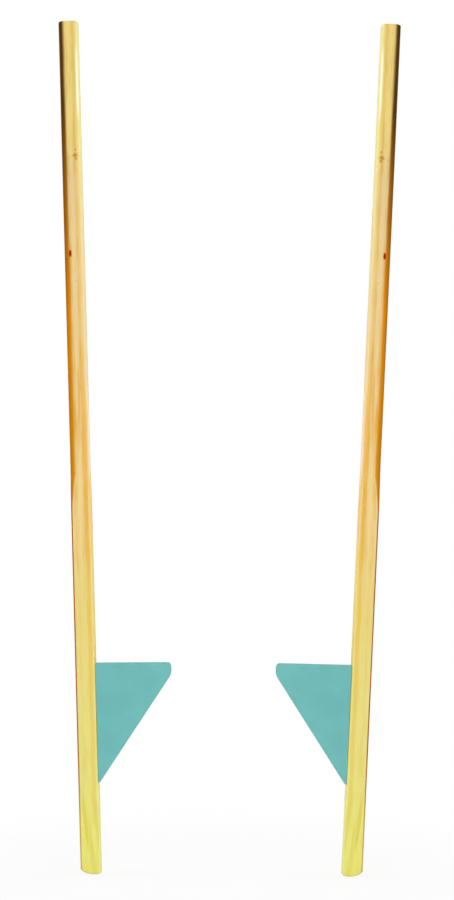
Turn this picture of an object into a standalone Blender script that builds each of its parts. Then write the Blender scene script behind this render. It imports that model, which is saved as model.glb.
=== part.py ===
"""A pair of wooden stilts, standing splayed on their rounded feet.

Metres, with Z up and the front towards -Y. Each stilt is drawn in its own
frame: the pole's axis is Z with the foot at zero, and +X points from the pole
to the foot rest. The two stilts are the same thing, so the right-hand one is
the left-hand one turned half round.
"""

import math

import bmesh
import bpy
from mathutils import Vector

# Poles
POLE_LENGTH = 1.250
POLE_WIDTH = 0.029
ARRIS_RADIUS = 0.0025
GRIP_RADIUS = 0.0095
GRIP_START = 0.527
RUNOUT_LENGTH = 0.053
RUNOUT_POWER = 1.4
TOP_CHAMFER = 0.0010

# Rounded feet: radius across the pole, radius front to back, low point's distance towards the rest
FOOT_ROUND = 0.029
FOOT_ROCK = 0.060
FOOT_APEX = 0.005

# How the pair stands
FOOT_SPACING = 0.369
SPLAY_DEGREES = 2.35

# Foot rests
TREAD_HEIGHT = 0.3032
TREAD_FALL_DEGREES = 1.5
REST_DEPTH = 0.1092
REST_HEIGHT = 0.1709
REST_THICKNESS = 0.028
REST_EASE = 0.0018
NOSE_HEIGHT = 0.0164
NOSE_TOP_RADIUS = 0.006
NOSE_UNDER_RADIUS = 0.016
TOE_WIDTH = 0.002

# Bolts, with their drop below the tread
UPPER_BOLT_DROP = 0.040
LOWER_BOLT_DROP = 0.104
BOLT_DIAMETER = 0.006
BOLT_TIP_CHAMFER = 0.0008
BOLT_PAST_INSERT = 0.0015
HEAD_DIAMETER = 0.010
HEAD_HEIGHT = 0.006
HEAD_CHAMFER = 0.0006
HEAD_RECESS = 0.001
SOCKET_WIDTH = 0.005
SOCKET_DEPTH = 0.003

# Washers
WASHER_DIAMETER = 0.0125
WASHER_THICKNESS = 0.0016

# Threaded inserts, with the share of each barb's pitch over which it tapers
INSERT_LENGTH = 0.015
INSERT_WALL = 0.0009
INSERT_BARB = 0.0008
INSERT_BARBS = 4
INSERT_BARB_TAPER = 0.7

# Room between pieces that touch, and how far a cutter runs past what it cuts
FIT_GAP = 0.0003
OVERCUT = 0.002

# Roundness of the curved faces
CORNER_STEPS = 5
SIDE_STEPS = 6
SOLE_RINGS = 4
SOLE_CAP_SHARE = 0.08
RUNOUT_STEPS = 6
FILLET_STEPS = 6
EASE_STEPS = 2
TURNED_STEPS = 24
SMOOTH_BELOW_DEGREES = 35.0

# Sizes that follow from the ones above
HALF_POLE = POLE_WIDTH / 2
HEAD_ROOM_RADIUS = WASHER_DIAMETER / 2 + FIT_GAP
HEAD_ROOM_DEPTH = HEAD_RECESS + HEAD_HEIGHT + WASHER_THICKNESS + 2 * FIT_GAP
HEAD_ROOM_FLOOR = HEAD_ROOM_DEPTH - HALF_POLE
BOLT_HOLE_RADIUS = BOLT_DIAMETER / 2 + FIT_GAP
WASHER_FACE = HEAD_ROOM_FLOOR - FIT_GAP - WASHER_THICKNESS
HEAD_FACE = WASHER_FACE - FIT_GAP
REST_BACK = HALF_POLE + FIT_GAP
INSERT_ROOT_RADIUS = BOLT_HOLE_RADIUS + INSERT_WALL
INSERT_CREST_RADIUS = INSERT_ROOT_RADIUS + INSERT_BARB
INSERT_HOLE_RADIUS = INSERT_CREST_RADIUS + FIT_GAP
INSERT_END = REST_BACK + INSERT_LENGTH
BOLT_TIP = INSERT_END + BOLT_PAST_INSERT
BOLT_HEIGHTS = {"upper": TREAD_HEIGHT - UPPER_BOLT_DROP, "lower": TREAD_HEIGHT - LOWER_BOLT_DROP}


def clear_scene():
    for thing in list(bpy.data.objects):
        bpy.data.objects.remove(thing, do_unlink=True)


def make_material(name, colour, roughness, metallic):
    material = bpy.data.materials.new(name)
    material.use_nodes = True
    shader = material.node_tree.nodes["Principled BSDF"]
    shader.inputs["Base Color"].default_value = (*colour, 1.0)
    shader.inputs["Roughness"].default_value = roughness
    shader.inputs["Metallic"].default_value = metallic
    return material


def join_rings(bm, low, high):
    for i in range(len(low)):
        j = (i + 1) % len(low)
        bm.faces.new((low[i], low[j], high[j], high[i]))


def loft(rings):
    """A solid through rings of equal length, with a flat at each end."""
    bm = bmesh.new()
    rows = [[bm.verts.new(point) for point in ring] for ring in rings]
    for low, high in zip(rows, rows[1:]):
        join_rings(bm, low, high)
    bm.faces.new(rows[0])
    bm.faces.new(rows[-1])
    bmesh.ops.recalc_face_normals(bm, faces=bm.faces)
    return bm


def loop(rings):
    """A solid with a hole through it: the last ring joins the first again."""
    bm = bmesh.new()
    rows = [[bm.verts.new(point) for point in ring] for ring in rings]
    for low, high in zip(rows, rows[1:] + rows[:1]):
        join_rings(bm, low, high)
    bmesh.ops.recalc_face_normals(bm, faces=bm.faces)
    return bm


def circle(x, radius):
    """A ring round the bolt's axis, which is X."""
    turns = [math.tau * i / TURNED_STEPS for i in range(TURNED_STEPS)]
    return [Vector((x, radius * math.cos(a), radius * math.sin(a))) for a in turns]


def hexagon(x, width):
    """A ring with as many points as a circle, laid on the six flats of a key socket."""
    points = []
    for i in range(TURNED_STEPS):
        angle = math.tau * i / TURNED_STEPS
        from_flat = (angle + math.pi / 6) % (math.pi / 3) - math.pi / 6
        reach = width / 2 / math.cos(from_flat)
        points.append(Vector((x, reach * math.cos(angle), reach * math.sin(angle))))
    return points


def rounded_square(width, radius):
    """One turn round a square with rounded corners, each flat split into equal steps."""
    half = width / 2
    inner = half - radius
    points = []
    for quarter in range(4):
        start = quarter * math.pi / 2
        across = math.sqrt(2) * inner
        middle = Vector((math.cos(start + math.pi / 4), math.sin(start + math.pi / 4))) * across
        along = Vector((-math.sin(start + math.pi / 2), math.cos(start + math.pi / 2)))
        for i in range(CORNER_STEPS + 1):
            angle = start + i * math.pi / 2 / CORNER_STEPS
            corner_point = middle + radius * Vector((math.cos(angle), math.sin(angle)))
            points.append(corner_point)
        for i in range(1, SIDE_STEPS):
            points.append(corner_point + along * (2 * inner * i / SIDE_STEPS))
    return points


def sole_height(x, y):
    """Height of the rounded sole above its low point."""
    across = x - FOOT_APEX
    side = FOOT_ROUND - math.sqrt(FOOT_ROUND**2 - across**2)
    fore = FOOT_ROCK - math.sqrt(FOOT_ROCK**2 - y**2)
    return side + fore


def corner_radius(height):
    """The pole's corner radius: small below, growing faster and faster up the run-out to the grip's."""
    share = min(max((height - GRIP_START) / RUNOUT_LENGTH, 0.0), 1.0)
    return ARRIS_RADIUS + (GRIP_RADIUS - ARRIS_RADIUS) * share**RUNOUT_POWER


def sole_ring(share):
    """The pole's outline shrunk about the sole's low point and laid on the sole."""
    points = []
    for point in rounded_square(POLE_WIDTH, ARRIS_RADIUS):
        x = FOOT_APEX + (point.x - FOOT_APEX) * share
        y = point.y * share
        points.append(Vector((x, y, sole_height(x, y))))
    return points


def level_ring(width, radius, z):
    return [Vector((point.x, point.y, z)) for point in rounded_square(width, radius)]


def pole_mesh():
    rings = [sole_ring(SOLE_CAP_SHARE)]
    for i in range(1, SOLE_RINGS + 1):
        rings.append(sole_ring(i / SOLE_RINGS))
    for i in range(RUNOUT_STEPS + 1):
        z = GRIP_START + RUNOUT_LENGTH * i / RUNOUT_STEPS
        rings.append(level_ring(POLE_WIDTH, corner_radius(z), z))
    rings.append(level_ring(POLE_WIDTH, GRIP_RADIUS, POLE_LENGTH - TOP_CHAMFER))
    rings.append(level_ring(POLE_WIDTH - 2 * TOP_CHAMFER, GRIP_RADIUS - TOP_CHAMFER, POLE_LENGTH))
    return loft(rings)


def fillet(before, corner, after, radius):
    """Points of the arc that rounds a corner between two straight edges."""
    into = (before - corner).normalized()
    out = (after - corner).normalized()
    half_angle = into.angle(out) / 2
    setback = radius / math.tan(half_angle)
    centre = corner + (into + out).normalized() * (radius / math.sin(half_angle))
    start = corner + into * setback - centre
    end = corner + out * setback - centre
    turn = start.angle_signed(end)
    points = []
    for i in range(FILLET_STEPS + 1):
        angle = -turn * i / FILLET_STEPS
        x = start.x * math.cos(angle) - start.y * math.sin(angle)
        y = start.x * math.sin(angle) + start.y * math.cos(angle)
        points.append(centre + Vector((x, y)))
    return points


def rest_outline():
    """The rest's side shape, from the tread at the pole round the nose to the toe."""
    nose_x = REST_BACK + REST_DEPTH
    fall = REST_DEPTH * math.tan(math.radians(TREAD_FALL_DEGREES))
    heel = Vector((REST_BACK, TREAD_HEIGHT))
    nose = Vector((nose_x, TREAD_HEIGHT - fall))
    under = Vector((nose_x, TREAD_HEIGHT - fall - NOSE_HEIGHT))
    toe = Vector((REST_BACK + TOE_WIDTH, TREAD_HEIGHT - REST_HEIGHT))
    toe_back = Vector((REST_BACK, TREAD_HEIGHT - REST_HEIGHT))
    top_arc = fillet(heel, nose, under, NOSE_TOP_RADIUS)
    under_arc = fillet(nose, under, toe, NOSE_UNDER_RADIUS)
    return [heel, *top_arc, *under_arc, toe, toe_back]


def rest_mesh():
    half = REST_THICKNESS / 2
    outline = rest_outline()
    front = [Vector((p.x, -half, p.y)) for p in outline]
    back = [Vector((p.x, half, p.y)) for p in outline]
    bm = loft([front, back])
    eased = []
    for edge in bm.edges:
        ends = [vert.co for vert in edge.verts]
        along_face = abs(ends[0].y - ends[1].y) < REST_EASE
        on_pole = all(abs(end.x - REST_BACK) < FIT_GAP for end in ends)
        if along_face and not on_pole:
            eased.append(edge)
    bmesh.ops.bevel(
        bm,
        geom=eased,
        offset=REST_EASE,
        segments=EASE_STEPS,
        profile=0.5,
        affect="EDGES",
        clamp_overlap=False,
    )
    return bm


def bolt_mesh():
    top = HEAD_FACE - HEAD_HEIGHT
    head = HEAD_DIAMETER / 2
    shank = BOLT_DIAMETER / 2
    return loft([
        hexagon(top + SOCKET_DEPTH, SOCKET_WIDTH),
        hexagon(top, SOCKET_WIDTH),
        circle(top, head - HEAD_CHAMFER),
        circle(top + HEAD_CHAMFER, head),
        circle(HEAD_FACE, head),
        circle(HEAD_FACE, shank),
        circle(BOLT_TIP - BOLT_TIP_CHAMFER, shank),
        circle(BOLT_TIP, shank - BOLT_TIP_CHAMFER),
    ])


def washer_mesh():
    inner = BOLT_HOLE_RADIUS
    outer = WASHER_DIAMETER / 2
    back = WASHER_FACE + WASHER_THICKNESS
    return loop([
        circle(WASHER_FACE, inner),
        circle(WASHER_FACE, outer),
        circle(back, outer),
        circle(back, inner),
    ])


def insert_mesh():
    rings = [circle(INSERT_END, BOLT_HOLE_RADIUS), circle(REST_BACK, BOLT_HOLE_RADIUS)]
    step = INSERT_LENGTH / INSERT_BARBS
    for i in range(INSERT_BARBS):
        rings.append(circle(REST_BACK + step * i, INSERT_CREST_RADIUS))
        rings.append(circle(REST_BACK + step * (i + INSERT_BARB_TAPER), INSERT_ROOT_RADIUS))
    rings.append(circle(INSERT_END, INSERT_ROOT_RADIUS))
    return loop(rings)


def pole_hole_mesh():
    """Room for the head and washer in the pole's outer side, then the bolt's hole right through."""
    return loft([
        circle(-HALF_POLE - OVERCUT, HEAD_ROOM_RADIUS),
        circle(HEAD_ROOM_FLOOR, HEAD_ROOM_RADIUS),
        circle(HEAD_ROOM_FLOOR, BOLT_HOLE_RADIUS),
        circle(HALF_POLE + OVERCUT, BOLT_HOLE_RADIUS),
    ])


def rest_hole_mesh():
    """Room for the insert in the rest's back, then for the bolt's tip behind it."""
    return loft([
        circle(REST_BACK - OVERCUT, INSERT_HOLE_RADIUS),
        circle(INSERT_END + FIT_GAP, INSERT_HOLE_RADIUS),
        circle(INSERT_END + FIT_GAP, BOLT_HOLE_RADIUS),
        circle(BOLT_TIP + OVERCUT, BOLT_HOLE_RADIUS),
    ])


def add_object(name, bm, stilt, height=0.0, material=None):
    """Hangs a piece on its stilt, with the mesh's zero on the pole's axis at the given height."""
    mesh = bpy.data.meshes.new(name)
    bm.to_mesh(mesh)
    bm.free()
    mesh.shade_smooth()
    mesh.set_sharp_from_angle(angle=math.radians(SMOOTH_BELOW_DEGREES))
    if material is not None:
        mesh.materials.append(material)
    piece = bpy.data.objects.new(name, mesh)
    bpy.context.collection.objects.link(piece)
    piece.parent = stilt
    piece.location = (-FOOT_APEX, 0, height - FOOT_ROUND)
    return piece


def drill(piece, name, bm, stilt, height):
    cutter = add_object(name, bm, stilt, height)
    cutter.hide_render = True
    cutter.display_type = "WIRE"
    cut = piece.modifiers.new(name, "BOOLEAN")
    cut.operation = "DIFFERENCE"
    cut.solver = "EXACT"
    cut.object = cutter


def build_stilt(side, x, turn, materials):
    """One stilt, leaning outwards about the middle of its rounded foot."""
    stilt = bpy.data.objects.new(f"{side}_stilt", None)
    bpy.context.collection.objects.link(stilt)
    stilt.location = (x, 0, FOOT_ROUND)
    stilt.rotation_euler = (0, -math.radians(SPLAY_DEGREES), turn)
    pole = add_object(f"{side}_pole", pole_mesh(), stilt, material=materials["varnished_pine"])
    rest = add_object(f"{side}_foot_rest", rest_mesh(), stilt, material=materials["teal_paint"])
    for place, height in BOLT_HEIGHTS.items():
        name = f"{side}_{place}"
        drill(pole, f"{name}_pole_hole", pole_hole_mesh(), stilt, height)
        drill(rest, f"{name}_rest_hole", rest_hole_mesh(), stilt, height)
        add_object(f"{name}_bolt", bolt_mesh(), stilt, height, materials["zinc_steel"])
        add_object(f"{name}_washer", washer_mesh(), stilt, height, materials["zinc_steel"])
        add_object(f"{name}_insert", insert_mesh(), stilt, height, materials["brass"])


def main():
    clear_scene()
    materials = {
        "varnished_pine": make_material("varnished_pine", (0.82, 0.63, 0.26), 0.35, 0.0),
        "teal_paint": make_material("teal_paint", (0.168, 0.491, 0.474), 0.45, 0.0),
        "zinc_steel": make_material("zinc_steel", (0.64, 0.65, 0.66), 0.32, 1.0),
        "brass": make_material("brass", (0.78, 0.57, 0.25), 0.35, 1.0),
    }
    build_stilt("left", -FOOT_SPACING / 2, 0.0, materials)
    build_stilt("right", FOOT_SPACING / 2, math.pi, materials)


main()
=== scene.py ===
"""Looks for a pair of wooden stilts: varnished pine poles with teal painted foot rests.

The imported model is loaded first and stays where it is. Each operator makes finer pieces in the
same place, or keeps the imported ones, and gives them their finish. Every piece rides on the stilt
that it belongs to. Sizes are metres. A stilt is drawn in its own frame: the pole's axis is Z with
the foot at zero, and +X points from the pole to the foot rest.
"""

import math
from functools import cache
from typing import NamedTuple

import bmesh
import bpy
from bpy.props import FloatProperty, FloatVectorProperty, PointerProperty
from mathutils import Matrix, Vector, noise


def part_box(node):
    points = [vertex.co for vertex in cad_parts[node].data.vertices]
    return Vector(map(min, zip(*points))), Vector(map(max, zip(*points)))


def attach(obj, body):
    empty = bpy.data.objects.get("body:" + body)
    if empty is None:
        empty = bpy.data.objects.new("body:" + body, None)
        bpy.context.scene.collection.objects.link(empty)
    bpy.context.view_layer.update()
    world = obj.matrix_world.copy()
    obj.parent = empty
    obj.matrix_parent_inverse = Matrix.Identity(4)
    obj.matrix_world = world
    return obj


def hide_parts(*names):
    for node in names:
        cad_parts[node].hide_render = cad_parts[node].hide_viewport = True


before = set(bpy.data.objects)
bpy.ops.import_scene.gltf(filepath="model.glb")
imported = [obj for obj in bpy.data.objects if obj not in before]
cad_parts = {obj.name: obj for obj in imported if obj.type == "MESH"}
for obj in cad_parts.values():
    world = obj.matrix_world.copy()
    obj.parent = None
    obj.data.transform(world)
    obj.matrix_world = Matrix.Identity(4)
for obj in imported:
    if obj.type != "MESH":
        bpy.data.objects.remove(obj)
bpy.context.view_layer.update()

bl_info = {
    "name": "Wooden stilts",
    "version": (1, 0, 0),
    "blender": (4, 5, 0),
    "location": "View3D > Sidebar > Stilts",
    "description": "Makes a pair of varnished pine stilts with painted foot rests",
    "category": "Add Mesh",
}

SIDES = ("left", "right")
PLACES = ("upper", "lower")
# How far a piece's box may lie from the box of the nodes it stands for
FIT_TOLERANCE = 0.0006

# Roundness of the curved faces
CORNER_STEPS = 12
FLAT_SHARES = (0.03, 0.2, 0.4, 0.6, 0.8, 0.97)
RING_EVERY = 0.025
RUNOUT_STEPS = 26
SOLE_RINGS = 10
SOLE_CAP_SHARE = 0.06
EASE_STEPS = 5
FILLET_STEPS = 18
TURNED_STEPS = 72
TURNS = [math.tau * i / TURNED_STEPS for i in range(TURNED_STEPS)]
THREAD_STEPS = 6
SMOOTH_BELOW_DEGREES = 32.0

# A narrow border keeps a flat face flat beside its eased edge, and a cutter stands out of what it cuts
HOLD = 0.0004
OVERCUT = 0.002

# Hand sanding: waves in a metre of corner, and how far apart the four corners lie in the noise
SANDING_WAVES = 14
SANDING_APART = 7.3
SANDING_START = 0.5

# Turns at which the outer side's painted shade begins, is full and thins out, below and at the top of the
# grip
LOWER_SHADE_BAND = (-0.06, 0.34, 0.95)
TOP_SHADE_BAND = (0.0, 0.49, 0.80)
# Heights between which the lower band gives way to the top's, and how much of its painted shade the flat
# loses
TOP_SHADE_BAND_BEGINS = 1.06
TOP_SHADE_BAND_FULL = 1.17
OUTER_FLAT_SHADE_LOSS = 0.6

# Noise waves in a metre across, through and along a board
BEND_WAVES = (14.0, 14.0, 3.2)
RIPPLE_WAVES = (160.0, 160.0, 9.0)
FIBRE_WAVES = (520.0, 520.0, 9.0)
TONE_WAVES = (170.0, 170.0, 24.0)
MARK_EDGE_WAVES = (900.0, 900.0, 500.0)
SCRATCH_WAVES = (1500.0, 1500.0, 45.0)
SCRATCH_PATCH_WAVES = (60.0, 60.0, 25.0)
PEEL_WAVES = (700.0, 700.0, 700.0)
NOISE_MIDDLE = 0.5

# Soft steps: where each begins and ends, then its amounts there if they aren't 0 and 1
LATE_WOOD_BEGINS = (0.32, 0.64)
LATE_WOOD_ENDS = (0.88, 1.0, 1.0, 0.0)
RING_STRENGTH = (-1.0, 1.0, 0.1, 1.0)
MARK_EDGE = (0.55, 1.05, 1.0, 0.0)
WEAR_PATCHES = (0.35, 0.70)
SCRATCH_LINES = (0.66, 0.74)
SCRATCH_PATCHES = (0.52, 0.66)
SMEAR_TINT = (0.3, 0.7)
SMEAR_GLOSS = (0.2, 0.8)
TONE_SHIFT = (0.35, 0.75, -0.20, 0.42)
FIBRE_SHIFT = (0.30, 0.75, -0.12, 0.32)
# Turns over which the inner side's painted light and shade comes in
PAINTED_INNER_LIGHTING_TURNS = (0.32, 0.78, 0.0, 0.85)
# Turns and heights of the painted highlight on the grip's inner corners
HIGHLIGHT_FROM_FRONT = (0.40, 0.62)
HIGHLIGHT_TO_SIDE = (0.70, 0.90, 1.0, 0.0)
HIGHLIGHT_FROM_BELOW = (1.09, 1.13)
HIGHLIGHT_TO_TOP = (1.19, 1.225, 1.0, 0.0)
FRONT_COAT = (-0.25, -0.05, 0.0, 0.08)
CORNER_COAT = (0.15, 0.50)
COAT_UP_THE_POLE = (0.54, 0.62, 0.25, 0.70)
COAT_OFF_THE_FLAT = (0.90, 1.0, 1.0, 0.05)

# How strongly one thing shows in another
RIPPLE_SHARE = 0.3
RING_BEAT = 1.9
RAGGED_REACH = 2.5
MARK_DEPTH_PER_WIDTH = 3
CUT_END_TONE = 0.35
RING_RELIEF = 0.5
PAINTED_FIBRE_RELIEF = 0.6
DEEP_PAINT = 0.94
DULL_METAL = 0.82

# Roughness where it is smeared least and most, and for metal the change from its own
PINE_ROUGHNESS = (0.36, 0.52)
PAINT_ROUGHNESS = (0.54, 0.66)
METAL_ROUGHNESS_CHANGE = (-0.06, 0.10)


def node_size(node):
    """Width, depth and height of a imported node."""
    low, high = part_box(node)
    return high - low


def node_middle(node):
    low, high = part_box(node)
    return (low + high) / 2


def packed_lean():
    """The angle by which the left stilt leans outwards, from its two bolts."""
    upper = node_middle("left_upper_bolt")
    lower = node_middle("left_lower_bolt")
    return math.atan2(lower.x - upper.x, upper.z - lower.z)


def number(name, description, default, **settings):
    return FloatProperty(name=name, description=description, default=default, **settings)


def length(name, description, default):
    return number(name, description, default, min=0.0, precision=4, unit="LENGTH", subtype="DISTANCE")


def angle(name, description, default):
    return number(name, description, default, unit="ROTATION", subtype="ANGLE")


def share(name, description, default):
    return number(name, description, default, min=0.0, max=1.0, subtype="FACTOR")


def watts(name, description, default):
    return number(name, description, default, min=0.0, unit="POWER")


def linear(level):
    """A screen colour level from 0 to 255 as the amount of light it stands for."""
    level /= 255
    return level / 12.92 if level <= 0.04045 else ((level + 0.055) / 1.055) ** 2.4


def colour(name, description, red, green, blue):
    """A colour property, written with screen levels from 0 to 255."""
    return FloatVectorProperty(
        name=name,
        description=description,
        default=(linear(red), linear(green), linear(blue)),
        size=3,
        min=0.0,
        max=1.0,
        subtype="COLOR",
    )


class StiltSizes(bpy.types.PropertyGroup):
    """Sizes of one stilt, the same on both."""

    pole_length: length("Pole length", "From the foot's low point to the top", 1.250)
    pole_width: length("Pole width", "Side of the square pole", node_size("left_pole").y)
    arris_radius: length("Arris radius", "Broken corners of the lower pole", 0.0025)
    grip_radius: length("Grip radius", "Rounded corners of the upper pole", 0.0095)
    grip_start: length("Grip start", "Height where the corners begin to open out", 0.527)
    runout_length: length("Run-out length", "Height over which the corners open out", 0.053)
    runout_power: number("Run-out curve", "Shape of the run-out", 1.4, min=1.0)
    top_ease: length("Top ease", "Radius round the top's edge", 0.0012)
    unevenness: share("Unevenness", "How much hand sanding varies the corners", 0.10)
    foot_round: length("Foot round", "Radius of the sole across the pole", 0.029)
    foot_rock: length("Foot rock", "Radius of the sole front to back", 0.060)
    foot_apex: length("Foot apex", "The sole's low point, towards the rest", 0.005)
    foot_ease: length("Foot ease", "Radius round the sole's edge", 0.0010)
    foot_spacing: length("Foot spacing", "Between the feet's low points", 0.369)
    lean: angle("Lean", "How far each pole leans outwards", packed_lean())
    tread_height: length("Tread height", "Tread above the foot, at the pole", 0.3032)
    tread_fall: angle("Tread fall", "How far the tread falls towards its nose", math.radians(1.5))
    rest_depth: length("Rest depth", "From the pole to the nose", 0.1092)
    rest_height: length("Rest height", "From the tread to the toe", 0.1709)
    rest_thickness: length("Rest thickness", "Front to back", node_size("left_foot_rest").y)
    rest_ease: length("Rest ease", "Rounding of the rest's edges", 0.0018)
    nose_height: length("Nose height", "Upright part of the nose", 0.0164)
    nose_top_radius: length("Nose top radius", "Between tread and nose", 0.006)
    nose_under_radius: length("Nose under radius", "Between nose and slope", 0.016)
    toe_width: length("Toe width", "Thickness of the rest's lower tip", 0.002)
    upper_drop: length("Upper bolt drop", "Upper bolt below the tread", 0.040)
    lower_drop: length("Lower bolt drop", "Lower bolt below the tread", 0.104)
    bolt_diameter: length("Bolt diameter", "Thread's outer diameter", 0.006)
    bolt_end: length("Bolt end", "The bolt's tip, from the pole's axis", 0.0313)
    thread_length: length("Thread length", "Threaded end of the bolt", 0.024)
    thread_pitch: length("Thread pitch", "Between turns of the thread", 0.001)
    thread_depth: length("Thread depth", "From crest to root", 0.0006)
    head_diameter: length("Head diameter", "Bolt head", node_size("left_upper_bolt").y)
    head_height: length("Head height", "Bolt head", 0.006)
    head_recess: length("Head recess", "Bolt head below the pole's side", 0.001)
    head_ease: length("Head ease", "Rounding of the head's rim", 0.0006)
    knurl_depth: length("Knurl depth", "Grooves round the bolt head", 0.00018)
    socket_width: length("Socket width", "Key socket across its flats", 0.005)
    socket_depth: length("Socket depth", "Key socket", 0.003)
    washer_diameter: length("Washer diameter", "Outer diameter", node_size("left_upper_washer").y)
    washer_thickness: length("Washer thickness", "Plate", 0.0016)
    washer_ease: length("Washer ease", "Rounding of the washer's rim", 0.0003)
    insert_length: length("Insert length", "Threaded insert in the rest", 0.015)
    insert_radius: length("Insert radius", "Over the insert's barbs", 0.005)
    fit_gap: length("Fit gap", "Room between pieces that touch", 0.0003)
    hole_ease: length("Hole ease", "Chamfer at the mouth of each sunk hole", 0.0005)


class StiltColours(bpy.types.PropertyGroup):
    """Colours of the finishes, from the foot up where they change along the pole."""

    # The wood's tones by height: its own colour, with painted light in how they change from the foot up
    foot_wood: colour("Foot", "Pale wood at the foot", 243, 241, 126)
    shin_wood: colour("Shin", "Pale wood beside the foot rest", 236, 230, 136)
    knee_wood: colour("Knee", "Pale wood above the foot rest", 238, 221, 135)
    waist_wood: colour("Waist", "Pale wood below the grip", 245, 218, 150)
    middle_wood: colour("Middle", "Pale wood of the lower grip", 240, 212, 152)
    upper_wood: colour("Upper", "Pale wood in the middle of the grip", 238, 212, 154)
    grip_wood: colour("Grip", "Pale wood at the top", 248, 222, 138)
    foot_streak: colour("Foot streak", "Late wood at the foot", 232, 224, 106)
    shin_streak: colour("Shin streak", "Late wood beside the foot rest", 234, 214, 112)
    knee_streak: colour("Knee streak", "Late wood above the foot rest", 236, 203, 93)
    waist_streak: colour("Waist streak", "Late wood below the grip", 238, 188, 88)
    middle_streak: colour("Middle streak", "Late wood of the lower grip", 228, 174, 72)
    upper_streak: colour("Upper streak", "Late wood in the middle of the grip", 221, 186, 107)
    grip_streak: colour("Grip streak", "Late wood at the top", 224, 192, 102)
    foot_grain: colour("Foot grain", "Slanting late wood at the foot", 224, 208, 74)
    # Painted shade: the outer side's colours, darker and oranger where its corners turn away from the
    # light, dark brown at the top
    foot_edge: colour("Foot edge", "Outer side at the foot", 222, 188, 96)
    shin_painted_shade: colour("Shin edge", "Outer side beside the foot rest", 184, 98, 8)
    waist_painted_shade: colour("Waist edge", "Outer side below the grip", 226, 147, 10)
    middle_painted_shade: colour("Middle edge", "Outer side of the lower grip", 239, 147, 10)
    grip_painted_shade: colour("Grip edge", "Outer side at the top", 110, 68, 17)
    # Painted light and shade on the inner side, where light falls from between the stilts: paler at the
    # foot and the grip, darker and oranger beside the rest and below the grip
    foot_glow: colour("Foot inner side", "Inner side at the foot", 255, 253, 165)
    shin_painted_inner_lighting: colour("Shin inner side", "Inner side beside the foot rest", 238, 208, 98)
    waist_painted_inner_lighting: colour("Waist inner side", "Inner side below the grip", 238, 196, 102)
    middle_painted_inner_lighting: colour("Middle inner side", "Inner side of the lower grip", 232, 207, 152)
    grip_painted_inner_lighting: colour("Grip inner side", "Inner side at the top", 228, 222, 148)
    # Painted highlight: a pale streak on the grip's inner corners, where the varnish catches the light
    painted_highlight: colour("Rubbed corner", "Corner polished pale by the hand", 246, 243, 205)
    knot: colour("Knot", "Pin knot", 170, 36, 4)
    stain: colour("Stain", "Resin stain and specks", 186, 124, 24)
    scratch: colour("Scratch", "Fine light scratches", 244, 226, 180)
    teal: colour("Teal", "Paint on the foot rests", 112, 187, 184)
    teal_worn: colour("Worn teal", "Paint rubbed along the edges", 126, 194, 190)
    steel: colour("Steel", "Zinc plated bolts and washers", 209, 210, 212)
    brass: colour("Brass", "Threaded inserts", 228, 198, 137)


class StiltStage(bpy.types.PropertyGroup):
    """Camera, floor and lights."""

    camera_place: FloatVectorProperty(
        name="Camera place",
        description="Where the camera stands",
        default=(0.0020, -2.503, 0.4849),
        size=3,
        unit="LENGTH",
        subtype="TRANSLATION",
    )
    camera_pitch: angle("Camera pitch", "How far the camera looks up", math.radians(3.0))
    camera_roll: angle("Camera roll", "How far the camera is turned about its view", math.radians(0.540))
    focal_length: length("Focal length", "In picture heights", 1.898)
    floor_width: length("Floor width", "Side of the square floor", 12.0)
    floor_near: length("Shadow room", "Radius within which the floor keeps shadows", 0.22)
    floor_far: length("White from", "Radius from which the floor is plain white", 0.70)
    floor_white: share("Floor white", "White share of the floor near the feet", 0.91)
    floor_pale: share("Floor paleness", "How much light the floor throws back", 0.85)
    ambient: share("Ambient", "Even light from all round", 0.10)
    strip_power: watts("Strip power", "Tall soft strip in front, between the grips", 3.45)
    front_power: watts("Front power", "Soft light in front, low down", 5.0)
    top_power: watts("Top power", "Soft light overhead", 36.0)
    sheen_power: watts("Sheen power", "Each small strip that shines on a grip", 0.011)
    back_power: watts("Back power", "Each soft light behind", 21.0)
    side_power: watts("Side power", "Each tall soft light beside the pair", 2.4)


class SoftLight(NamedTuple):
    """An area light: its name, its size, where it stands and where it points."""

    name: str
    width: float
    height: float
    place: tuple
    target: tuple


SOFT_LIGHTS = (
    SoftLight("strip", 0.10, 1.5, (0, -0.38, 1.40), (0, 0, 1.40)),
    SoftLight("front", 0.8, 0.45, (0, -0.9, 0.25), (0, 0, 0.12)),
    SoftLight("top", 0.7, 0.7, (0, 0, 3.2), (0, 0, 0)),
    SoftLight("sheen", 0.05, 0.16, (-0.01, -0.075, 1.175), (-0.1, -0.075, 1.175)),
    SoftLight("sheen", 0.05, 0.16, (0.01, -0.075, 1.175), (0.1, -0.075, 1.175)),
    SoftLight("back", 0.9, 0.9, (-1.4, 2.0, 0.5), (0, 0, 0.4)),
    SoftLight("back", 0.9, 0.9, (1.4, 2.0, 0.5), (0, 0, 0.4)),
    SoftLight("side", 0.5, 1.4, (-1.3, 0, 0.6), (0, 0, 0.6)),
    SoftLight("side", 0.5, 1.4, (1.3, 0, 0.6), (0, 0, 0.6)),
)


class Mark:
    """A small mark on the pole's front: its place, its half sizes and how it looks."""

    def __init__(self, across, height, half_width, half_height, colour_name, strength, ragged, slant=0.0):
        middle = (across, -node_size("left_pole").y / 2, height)
        reach = (half_width, MARK_DEPTH_PER_WIDTH * half_width, half_height)
        self.shape = {"Middle": middle, "Reach": reach, "Ragged": ragged, "Slant": slant}
        self.colour_name = colour_name
        self.strength = strength


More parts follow.
